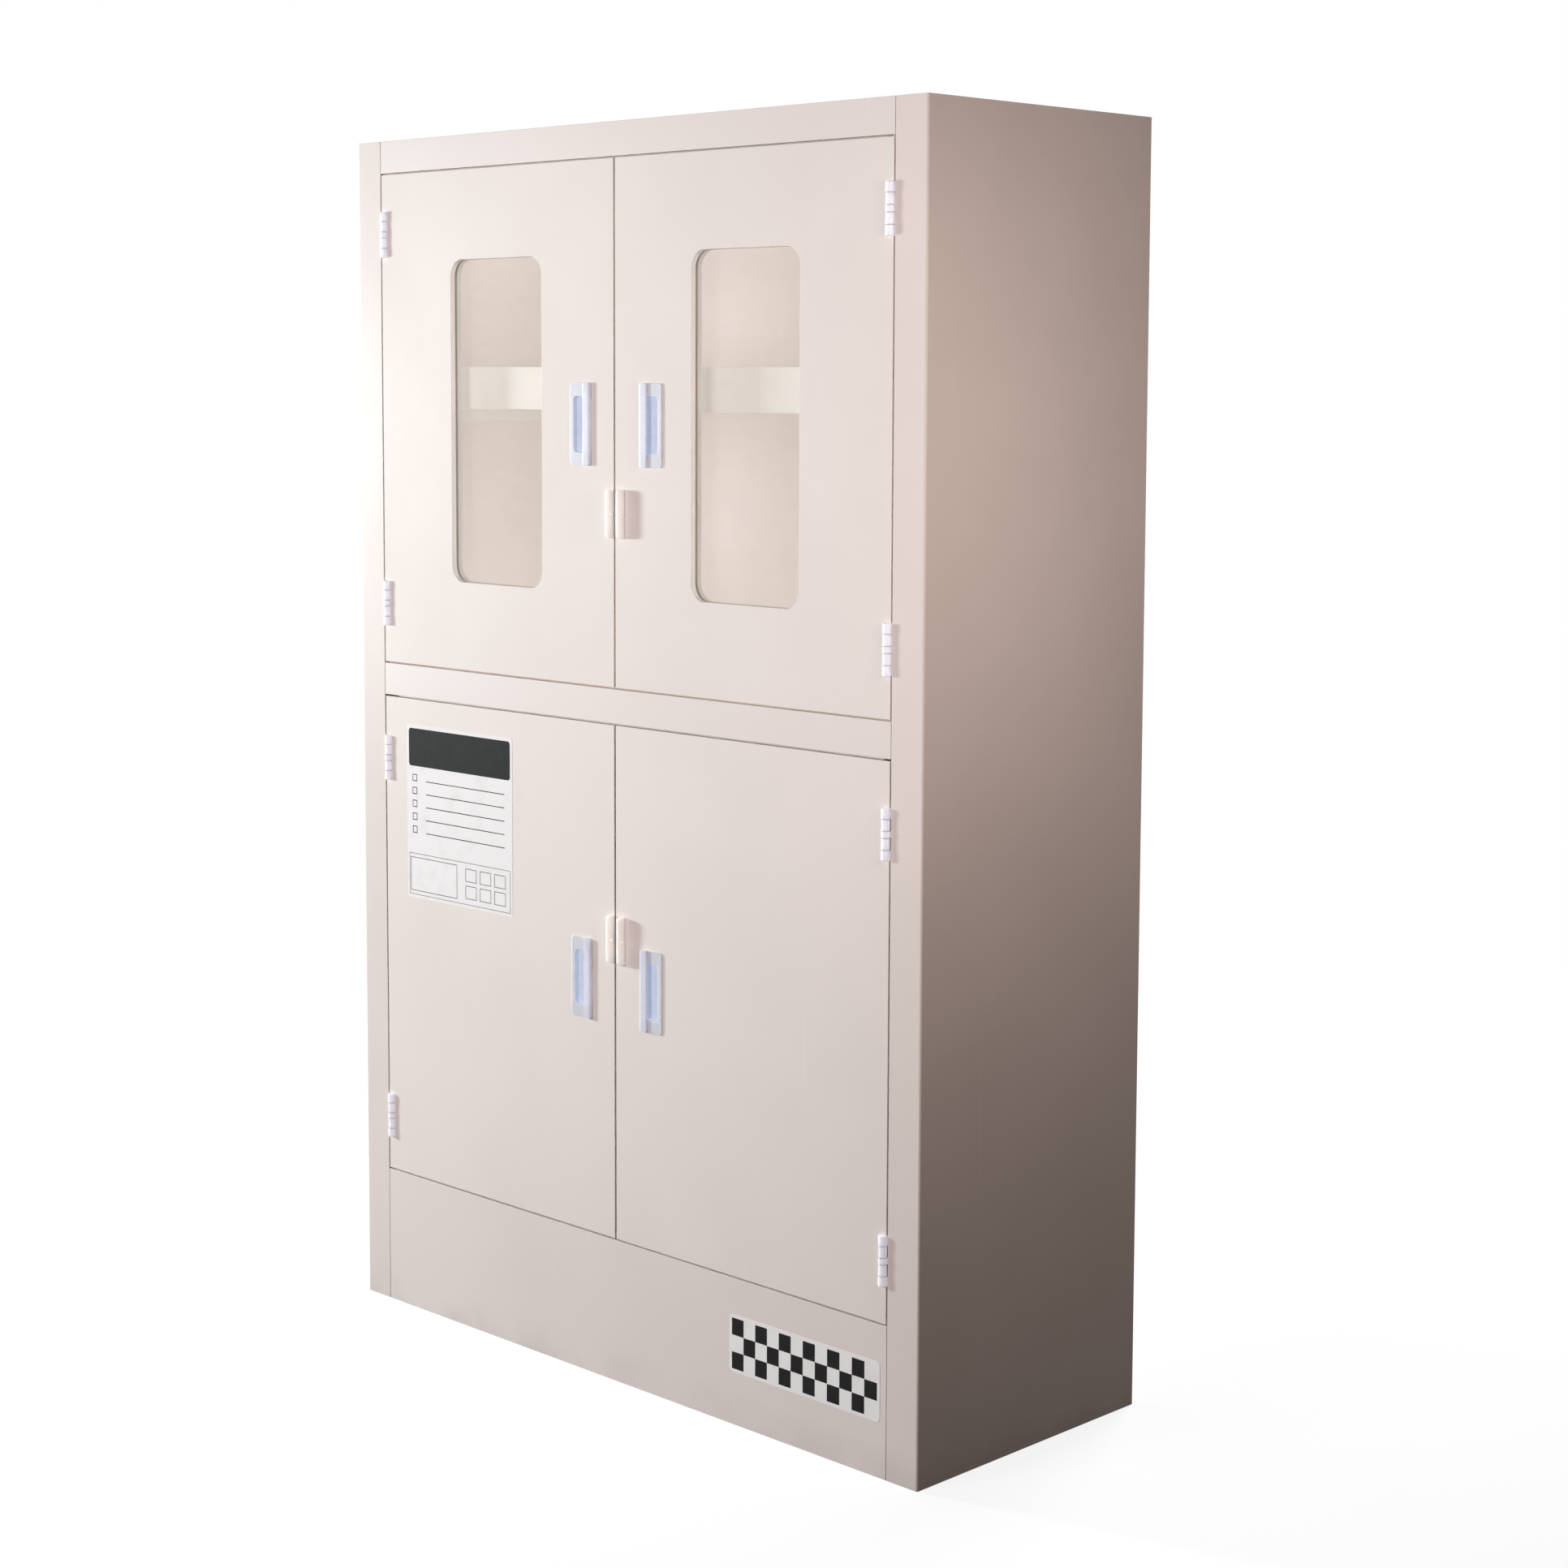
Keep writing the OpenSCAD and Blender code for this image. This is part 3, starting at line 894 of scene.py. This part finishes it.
@dataclass
class Case:
    """The welded case: side sheets, panels, rails and plinth."""

    edge: float = 0.7 * MM
    fold_edge: float = 0.5 * MM
    seam_gap: float = 6 * MM

    SHELL = ("back_panel", "top_panel", "base_panel", "top_rail", "mid_rail", "plinth_panel")
    INNER = ("floor_panel", "divider_panel", "base_ribs", "upper_stop_strip", "lower_stop_strip")

    def dress(self) -> None:
        """Finishes the sheets of the case."""
        for side in Side:
            dress(f"side_sheet_{side.word}", SIDE_SHEET, self.fold_edge)
        for node in self.SHELL:
            dress(node, SHEET, self.edge)
        for node in self.INNER:
            dress(node, INNER_SHEET, self.edge)

    def weld(self) -> None:
        """Lays the weld seams along the inside corners of both compartments."""
        wall_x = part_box("back_panel")[1].x
        back_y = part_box("back_panel")[0].y
        front_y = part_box("upper_stop_strip")[1].y + self.seam_gap
        floors = {
            Level.UPPER: (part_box("divider_panel")[1].z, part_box("top_panel")[0].z),
            Level.LOWER: (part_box("floor_panel")[1].z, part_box("divider_panel")[0].z),
        }
        for level, (low_z, high_z) in floors.items():
            draft = MeshDraft()
            seam = WeldSeam()
            for side in Side:
                x, inward = side.value * wall_x, (-side.value, 0, 0)
                seam.lay(draft, (x, back_y, low_z), (x, back_y, high_z), inward, (0, -1, 0))
                for z, up in ((low_z, 1), (high_z, -1)):
                    seam.lay(draft, (x, front_y, z), (x, back_y, z), inward, (0, 0, up))
            for z, up in ((low_z, 1), (high_z, -1)):
                seam.lay(draft, (-wall_x, back_y, z), (wall_x, back_y, z), (0, -1, 0), (0, 0, up))
            draft.piece(f"{level.value}_weld_seams", "case", Slot.INNER, WELD)


@dataclass
class Shelf:
    """Tray shelf on its angles."""

    level: Level
    edge: float = 0.9 * MM

    def dress(self) -> None:
        """Finishes the tray and the angles that carry it."""
        dress(f"{self.level.value}_shelf", INNER_SHEET, self.edge)
        dress(f"{self.level.value}_shelf_ledges", INNER_SHEET, self.edge)


@dataclass
class Catch:
    """Double magnetic catch under a stop strip."""

    level: Level
    edge: float = 0.6 * MM
    magnet: Flat = (14.5 * MM, 6.6 * MM)
    magnet_t: float = 1.1 * MM
    magnet_x: float = 15.8 * MM
    magnet_seat: float = 1.5 * MM
    magnet_corner: float = 0.6 * MM
    magnet_facets: int = 3
    magnet_edge: float = 0.2 * MM
    screw_x: float = 22 * MM

    SCREWS = ScrewHeads(radius=2.6 * MM, height=1.3 * MM)

    def dress(self) -> None:
        """Finishes the catch body."""
        dress(f"{self.level.value}_catch", HARDWARE, self.edge)

    def build(self) -> None:
        """Sets the magnets into their recesses and the screws under the body."""
        low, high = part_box(f"{self.level.value}_catch")
        seat_y = low.y + self.magnet_seat
        draft = MeshDraft()
        outline = rounded_outline(*self.magnet, self.magnet_corner, self.magnet_facets)
        for side in Side:
            place = front_place(side.value * self.magnet_x, seat_y, (low.z + high.z) / 2)
            draft.plate(outline, self.magnet_t, place)
        magnets = draft.piece(f"{self.level.value}_magnets", "case", Slot.STEEL, STEEL)
        soften(magnets, self.magnet_edge)
        seats = [
            facing((side.value * self.screw_x, (low.y + high.y) / 2, low.z), Facing.DOWN)
            for side in Side
        ]
        self.SCREWS.at(f"{self.level.value}_catch_screws", "case", STEEL, Slot.STEEL, seats)


@dataclass
class Hinges:
    """The two knuckle hinges of one door, with screws near to the axis and far from it."""

    level: Level
    side: Side
    leaf_edge: float = 0.45 * MM
    pin_edge: float = 0.5 * MM
    near_reach: float = 13 * MM
    near_rise: float = 23 * MM
    far_reach: float = 26 * MM
    far_rise: float = 11 * MM
    inner_joint: float = 4.65 * MM
    outer_joint: float = 20.15 * MM

    SCREWS = ScrewHeads(radius=2.9 * MM, height=1.2 * MM)

    @property
    def door(self) -> str:
        """First part of the names of this door's nodes."""
        return f"{self.level.value}_{self.side.word}"

    def centres(self) -> Iterator[Point]:
        """Middle of each hinge on its axis.

        Yields:
            Points on the hinge axis.
        """
        joint = next(j for j in frame["joints"] if j["name"] == f"{self.door}_door_hinge")
        low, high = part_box(f"{self.door}_hinge_pins")
        length = self.barrel_length
        for z in (low.z + length / 2, high.z - length / 2):
            yield joint["pos_m"][0], joint["pos_m"][1], z

    @property
    def barrel_length(self) -> float:
        """Length of one barrel, read from the pins' lowest straight run."""
        pins = frame["nodes"][f"{self.door}_hinge_pins"].data.vertices
        heights = sorted({round(vertex.co.z, 4) for vertex in pins})
        return heights[1] - heights[0]

    def finish(self) -> MouldedFinish:
        """White plastic with painted shade in the gaps between the knuckles.

        Returns:
            The finish, with the heights of this door's knuckle joints.
        """
        steps = (-self.outer_joint, -self.inner_joint, self.inner_joint, self.outer_joint)
        joints = tuple(round(z + step, 5) for _, _, z in self.centres() for step in steps)
        name = f"{HINGE_WHITE.name}_{self.door}"
        return dataclasses.replace(HINGE_WHITE, name=name, joints=joints)

    def dress(self) -> None:
        """Finishes the leaves, knuckles and pins."""
        finish = self.finish()
        for part in ("frame_leaves", "door_leaves"):
            dress(f"{self.door}_{part}", finish, self.leaf_edge)
        dress(f"{self.door}_hinge_pins", HINGE_WHITE, self.pin_edge)

    def build(self) -> None:
        """Sets the screw heads on the back of both leaves."""
        rows = ((self.near_reach, self.near_rise), (self.far_reach, self.far_rise))
        leaves = {"frame": ("case", -1), "door": (f"{self.door}_leaf", 1)}
        for leaf, (body, inward) in leaves.items():
            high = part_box(f"{self.door}_{leaf}_leaves")[1]
            seats = []
            for x, _, z in self.centres():
                for reach, rise in rows:
                    for up in (-1, 1):
                        across = x - self.side.value * inward * reach
                        place = (across, high.y, z + up * rise)
                        seats.append(facing(place, Facing.BACK))
            name = f"{self.door}_{leaf}_leaf_screws"
            self.SCREWS.at(name, body, HINGE_WHITE, Slot.HARDWARE, seats)


@dataclass
class Door:
    """One door with its pull, padlock ear and inner fittings."""

    level: Level
    side: Side
    edge: float = 0.7 * MM
    pull_edge: float = 0.8 * MM
    cup_edge: float = 0.4 * MM
    ear_edge: float = 0.9 * MM
    strike_edge: float = 0.2 * MM
    pull_screw_rise: float = 51 * MM
    frame_inset: float = 16 * MM
    frame_rows: int = 5

    PULL_SCREWS = ScrewHeads(radius=3.4 * MM, height=1.8 * MM)
    FRAME_SCREWS = ScrewHeads(radius=2.8 * MM, height=1.3 * MM)

    @property
    def name(self) -> str:
        """First part of the names of this door's nodes."""
        return f"{self.level.value}_{self.side.word}"

    @property
    def body(self) -> str:
        """Body that the door's pieces ride on."""
        return f"{self.name}_leaf"

    def dress(self) -> None:
        """Finishes the door sheet and what is fixed to it."""
        dress(f"{self.name}_door", DOOR_SHEET, self.edge)
        dress(f"{self.name}_handle", HARDWARE, self.pull_edge)
        dress(f"{self.name}_cup", POCKET, self.cup_edge)
        dress(f"{self.name}_lock_ear", EAR, self.ear_edge)
        dress(f"{self.name}_strike", STEEL, self.strike_edge)
        if self.level is Level.UPPER:
            dress(f"{self.name}_window", CLEAR, 0.0)
            dress(f"{self.name}_window_frame", INNER_SHEET, self.edge)
        else:
            dress(f"{self.name}_stiffener", INNER_SHEET, self.edge)

    def build(self) -> None:
        """Sets the screws of the pull and of the window frame on the back of the door."""
        pull = middle(f"{self.name}_handle")
        back_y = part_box(f"{self.name}_door")[1].y
        seats = [
            facing((pull.x, back_y, pull.z + up * self.pull_screw_rise), Facing.BACK)
            for up in (-1, 1)
        ]
        self.PULL_SCREWS.at(f"{self.name}_pull_screws", self.body, STEEL, Slot.STEEL, seats)
        if self.level is Level.UPPER:
            self.frame_screws()

    def frame_screws(self) -> None:
        """Sets the screws of the window frame on its back face."""
        low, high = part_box(f"{self.name}_window_frame")
        inset, steps = self.frame_inset, self.frame_rows - 1
        columns = (low.x + inset, high.x - inset)
        rows = [low.z + inset + (high.z - low.z - 2 * inset) * k / steps for k in range(steps + 1)]
        seats = [facing((x, high.y, z), Facing.BACK) for x in columns for z in rows]
        middle_x = (low.x + high.x) / 2
        seats += [facing((middle_x, high.y, z), Facing.BACK) for z in (rows[0], rows[-1])]
        name = f"{self.name}_frame_screws"
        self.FRAME_SCREWS.at(name, self.body, HINGE_WHITE, Slot.HARDWARE, seats)


@dataclass
class Sticker:
    """White film with black print. Places in the print are X and Z from the film's middle."""

    body: str
    centre: Flat
    size: Flat
    corner: float
    print_corner: float
    print_facets: int

    FILM = 0.35 * MM
    FILM_EDGE = 0.1 * MM
    INK = 0.10 * MM

    @property
    def face_y(self) -> float:
        """Front face that carries the film."""
        raise NotImplementedError

    def film(self, name: str) -> None:
        """Makes the film as the piece of that name."""
        outline = rounded_outline(*self.size, self.corner)
        place = front_place(self.centre[0], self.face_y, self.centre[1])
        draft = MeshDraft().plate(outline, self.FILM, place)
        soften(draft.piece(name, self.body, Slot.CASE, CARD_WHITE), self.FILM_EDGE)

    def bar(self, draft: MeshDraft, place: Flat, size: Flat, corner: float = 0.0) -> None:
        """Adds a solid printed bar.

        Args:
            draft: where it goes.
            place: its middle.
            size: its width and height.
            corner: its corner radius, or 0 for the usual one of the print.
        """
        outline = rounded_outline(*size, corner or self.print_corner, self.print_facets)
        x, z = self.centre[0] + place[0], self.centre[1] + place[1]
        draft.plate(outline, self.INK, front_place(x, self.face_y - self.FILM, z))


@dataclass
class ContentsCard(Sticker):
    """Blank card for noting what is stored: a plain header, writing lines and empty boxes."""

    body: str = "lower_left_leaf"
    centre: Flat = (-0.351, 0.7815)
    size: Flat = (250 * MM, 267 * MM)
    corner: float = 2 * MM
    print_corner: float = 0.3 * MM
    print_facets: int = 4
    margin: float = 5 * MM
    header_h: float = 58 * MM
    header_corner: float = 5 * MM
    lines: int = 5
    line: Flat = (186 * MM, 1.3 * MM)
    line_x: float = 14 * MM
    line_start: float = 22 * MM
    line_pitch: float = 20 * MM
    tick: Flat = (11 * MM, 11 * MM)
    tick_x: float = -106 * MM
    tick_rise: float = 4 * MM
    field_h: float = 64 * MM
    field_line: float = 0.7 * MM
    note: Flat = (112 * MM, 52 * MM)
    note_x: float = -61 * MM
    cell: Flat = (26 * MM, 20 * MM)
    cell_x: float = 28 * MM
    cell_pitch: Flat = (34 * MM, 26 * MM)
    cells: tuple[int, int] = (3, 2)
    box_line: float = 0.9 * MM

    @property
    def face_y(self) -> float:
        """Front face of the door sheet."""
        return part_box("lower_left_door")[0].y

    def box(self, draft: MeshDraft, place: Flat, size: Flat, line: float) -> None:
        """Adds an empty printed box.

        Args:
            draft: where it goes.
            place: its middle.
            size: its width and height over its lines.
            line: width of its lines.
        """
        (x, z), (width, height) = place, size
        for side in (-1, 1):
            self.bar(draft, (x, z + side * (height - line) / 2), (width, line))
            self.bar(draft, (x + side * (width - line) / 2, z), (line, height - 2 * line))

    def build(self) -> None:
        """Makes the film, and its header, lines with a box to tick, and framed field of boxes."""
        self.film("contents_card")
        ink = MeshDraft()
        inner_w, top = self.size[0] - 2 * self.margin, self.size[1] / 2 - self.margin
        header_z = top - self.header_h / 2
        self.bar(ink, (0.0, header_z), (inner_w, self.header_h), self.header_corner)
        for row in range(self.lines):
            z = top - self.header_h - self.line_start - row * self.line_pitch
            self.box(ink, (self.tick_x, z + self.tick_rise), self.tick, self.line[1])
            self.bar(ink, (self.line_x, z), self.line)
        field_z = self.field_h / 2 - top
        self.box(ink, (self.note_x, field_z), self.note, self.box_line)
        columns, rows = self.cells
        for column in range(columns):
            for row in range(rows):
                x = self.cell_x + column * self.cell_pitch[0]
                z = field_z + (row - (rows - 1) / 2) * self.cell_pitch[1]
                self.box(ink, (x, z), self.cell, self.box_line)
        self.box(ink, (0.0, field_z), (inner_w, self.field_h), self.field_line)
        ink.piece("contents_card_print", self.body, Slot.CASE, CARD_BLACK, smooth=False)


@dataclass
class MarkingStrip(Sticker):
    """Chequered marking strip on the plinth."""

    body: str = "case"
    centre: Flat = (0.3765, 0.116)
    size: Flat = (283 * MM, 82 * MM)
    corner: float = 7 * MM
    print_corner: float = 0.4 * MM
    print_facets: int = 3
    border: float = 5 * MM
    columns: int = 12
    rows: int = 3

    @property
    def face_y(self) -> float:
        """Front face of the plinth."""
        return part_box("plinth_panel")[0].y

    def build(self) -> None:
        """Makes the film and its chequers."""
        self.film("marking_strip")
        ink = MeshDraft()
        width, height = (length - 2 * self.border for length in self.size)
        cell_w, cell_h = width / self.columns, height / self.rows
        for column in range(self.columns):
            for row in range(self.rows):
                if (column + row) % 2 == 0:
                    x, z = (column + 0.5) * cell_w - width / 2, (row + 0.5) * cell_h - height / 2
                    self.bar(ink, (x, z), (cell_w, cell_h))
        ink.piece("marking_strip_print", self.body, Slot.CASE, CARD_BLACK, smooth=False)


# ---- Studio ----


@dataclass(frozen=True)
class SoftLamp:
    """Rectangular area lamp that faces a point. An unseen one shows in no mirror and no glass."""

    name: str
    place: Point
    aim: Point
    size: Flat
    watts: float
    tint: Tint = (1.0, 1.0, 1.0)
    spread: float = 180.0
    unseen: bool = False

    def build(self) -> bpy.types.Object:
        """Makes the lamp.

        Returns:
            The lamp's object.
        """
        data = bpy.data.lights.new(self.name, "AREA")
        data.shape = "RECTANGLE"
        data.size, data.size_y = self.size
        data.energy = self.watts
        data.color = self.tint
        data.spread = math.radians(self.spread)
        lamp = new_object(self.name, data)
        lamp.location = self.place
        lamp.rotation_mode = "QUATERNION"
        lamp.rotation_quaternion = (Vector(self.aim) - Vector(self.place)).to_track_quat("-Z", "Y")
        lamp.visible_camera = False
        if self.unseen:
            lamp.visible_glossy = False
            lamp.visible_transmission = False
        LOG.info("lamp %s", self.name)
        return lamp


@dataclass
class Studio:
    """Floor, surrounding light and lamps."""

    floor_half: float = 30.0
    ambient: Tint = (0.010, 0.008, 0.006)

    LAMPS = (
        SoftLamp("key_lamp", (-5.2, -1.85, 1.25), (0.1, -0.2275, 1.1), (0.6, 0.6), 284.0,
                 (0.90, 1.0, 1.0)),
        SoftLamp("front_lamp", (-0.44, -3.75, 1.5), (0.0, -0.2275, 1.2), (1.6, 1.6), 73.5,
                 (1.0, 0.92, 0.95)),
        SoftLamp("side_lamp", (1.71, -0.55, 1.5), (0.585, -0.1, 1.3), (0.4, 0.4), 4.2,
                 (1.0, 0.84, 0.78), spread=120.0),
        SoftLamp("back_lamp", (-0.6, 3.8, 2.6), (0.0, 0.2275, 1.0), (1.6, 1.6), 130.0),
        SoftLamp("top_lamp", (0.0, 0.0, 2.6), (0.0, 0.0, 1.8), (1.1, 0.4), 0.9, spread=70.0,
                 unseen=True),
    )

    def build(self) -> None:
        """Makes the floor, the world and the lamps."""
        self.floor()
        self.world()
        for lamp in self.LAMPS:
            lamp.build()

    def floor(self) -> None:
        """Makes the floor."""
        half = self.floor_half
        mesh = bpy.data.meshes.new("studio_floor")
        corners = [(-half, -half, 0), (half, -half, 0), (half, half, 0), (-half, half, 0)]
        mesh.from_pydata(corners, [], [(0, 1, 2, 3)])
        floor = new_object("studio_floor", mesh)
        finish = FloorFinish(
            "studio_floor", (74, 54, 40), seen=0.86, kept=0.24, shadow_r=1.3, clear_r=3.2
        )
        mesh.materials.append(finish.material())
        LOG.info("floor")

    def world(self) -> None:
        """Sets the world: white where it is seen, a plain dim light on the object."""
        m = ShaderMaker(bpy.data.worlds.new("studio"))
        bpy.context.scene.world = m.owner
        dim = m.node("ShaderNodeBackground", {}, {"Color": (*self.ambient, 1.0)}).outputs[0]
        white = m.node("ShaderNodeBackground", {}, {"Color": (1.0, 1.0, 1.0, 1.0)}).outputs[0]
        inputs = {0: background_rays(m), 1: dim, 2: white}
        shown = m.node("ShaderNodeMixShader", {}, inputs).outputs[0]
        m.node("ShaderNodeOutputWorld", {}, {"Surface": shown})


@dataclass
class WindowFill:
    """Soft lamps in the windowed compartment, for the light that its pale sheets let through.

    Each stands this depth off the sheet at its back and is smaller than that by the margin.
    """

    door_watts: float = 0.28
    ceiling_watts: float = 0.95
    floor_watts: float = 0.86
    end_watts: float = 0.50
    end_x: float = -0.43
    end_w: float = 0.22
    depth: float = 4 * MM
    margin: float = 40 * MM
    bay_depth: float = 0.36

    def build(self) -> None:
        """Makes a lamp behind each upper door, and lamps under the top and over the divider."""
        for side in Side:
            self.behind_door(f"upper_{side.word}")
        low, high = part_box("upper_shelf")
        whole = (high.x - low.x - self.margin, self.bay_depth)
        end = (self.end_w, self.bay_depth)
        levels = {
            "ceiling": (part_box("top_panel")[0].z - self.depth, -1, self.ceiling_watts),
            "floor": (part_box("divider_panel")[1].z + self.depth, 1, self.floor_watts),
        }
        for name, (height, up, watts) in levels.items():
            self.across(f"{name}_fill", (0.0, 0.0, height), up, whole, watts)
            self.across(f"{name}_end_fill", (self.end_x, 0.0, height), up, end, self.end_watts)

    def behind_door(self, name: str) -> None:
        """Makes the lamp behind a door, which swings with it.

        Args:
            name: first part of the names of the door's nodes.
        """
        low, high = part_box(f"{name}_door")
        back_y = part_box(f"{name}_window_frame")[1].y + self.depth
        centre = middle(f"{name}_door")
        size = (high.x - low.x - self.margin, high.z - low.z - self.margin)
        place, aim = (centre.x, back_y, centre.z), (centre.x, 1.0, centre.z)
        lamp = SoftLamp(f"{name}_fill", place, aim, size, self.door_watts, unseen=True)
        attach(lamp.build(), f"{name}_leaf")

    def across(self, name: str, place: Point, up: int, size: Flat, watts: float) -> None:
        """Makes a lamp that lies flat in the compartment.

        Args:
            name: name of the lamp.
            place: its middle.
            up: 1 if it faces up, -1 if it faces down.
            size: its size along X and Y.
            watts: its power.
        """
        aim = (place[0], place[1], place[2] + up)
        SoftLamp(name, place, aim, size, watts, unseen=True).build()


@dataclass(frozen=True)
class PhotoCamera:
    """Camera at the viewing angle of the photograph."""

    place: Point = (2.9840, -2.9128, 1.4447)
    forward: Point = (-0.69923, 0.70899, -0.09178)
    right: Point = (0.71174, 0.70243, 0.00373)
    sensor: float = 36.0
    lens: float = 65.44
    rise: float = -0.0911

    def build(self) -> None:
        """Makes the camera and gives it to the scene."""
        data = bpy.data.cameras.new("photo_camera")
        data.sensor_width = self.sensor
        data.lens = self.lens
        data.shift_y = self.rise
        camera = new_object("photo_camera", data)
        back = -Vector(self.forward).normalized()
        across = Vector(self.right).normalized()
        up = back.cross(across).normalized()
        across = up.cross(back).normalized()
        turn = Matrix((across, up, back)).transposed().to_4x4()
        camera.matrix_world = Matrix.Translation(self.place) @ turn
        bpy.context.scene.camera = camera
        LOG.info("camera")


def main() -> None:
    """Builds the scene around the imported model."""
    logging.basicConfig(level=logging.INFO, format="%(name)s: %(message)s")
    bpy.context.scene.view_settings.view_transform = "Standard"
    PhotoCamera().build()
    case = Case()
    case.dress()
    case.weld()
    for level in Level:
        Shelf(level).dress()
        catch = Catch(level)
        catch.dress()
        catch.build()
        for side in Side:
            for assembly in (Door(level, side), Hinges(level, side)):
                assembly.dress()
                assembly.build()
    ContentsCard().build()
    MarkingStrip().build()
    WindowFill().build()
    Studio().build()


if __name__ == "__main__":
    main()
